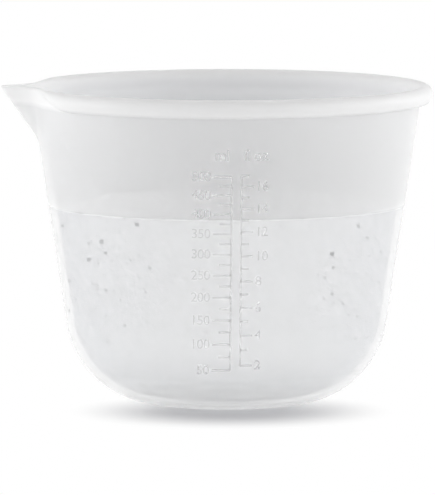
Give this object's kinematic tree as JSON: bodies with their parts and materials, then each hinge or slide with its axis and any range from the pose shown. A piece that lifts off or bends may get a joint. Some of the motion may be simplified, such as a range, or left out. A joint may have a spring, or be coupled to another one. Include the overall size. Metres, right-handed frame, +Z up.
{
  "type": "resin mixing cup",
  "caption": "Round flexible measuring cup with a rolled rim, a pouring spout and a raised volume scale, holding a removable charge of clear resin.",
  "frame": {"origin": "centre of the flat base, on the cup's axis", "axes": "+Z up along the cup's axis, -X towards the pouring spout, -Y towards the raised scale"},
  "size_m": [0.1307, 0.125, 0.0965],
  "materials": {
    "silicone": "translucent frosted silicone, satin",
    "resin": "clear liquid epoxy, glossy"
  },
  "bodies": {
    "cup": {"silicone_cup": "silicone"},
    "charge": {"resin_charge": "resin"}
  },
  "joints": [
    {"name": "charge_lift", "type": "slide", "parent": "cup", "child": "charge", "axis": [0, 0, 1], "range_m": [0, 0.1]}
  ]
}
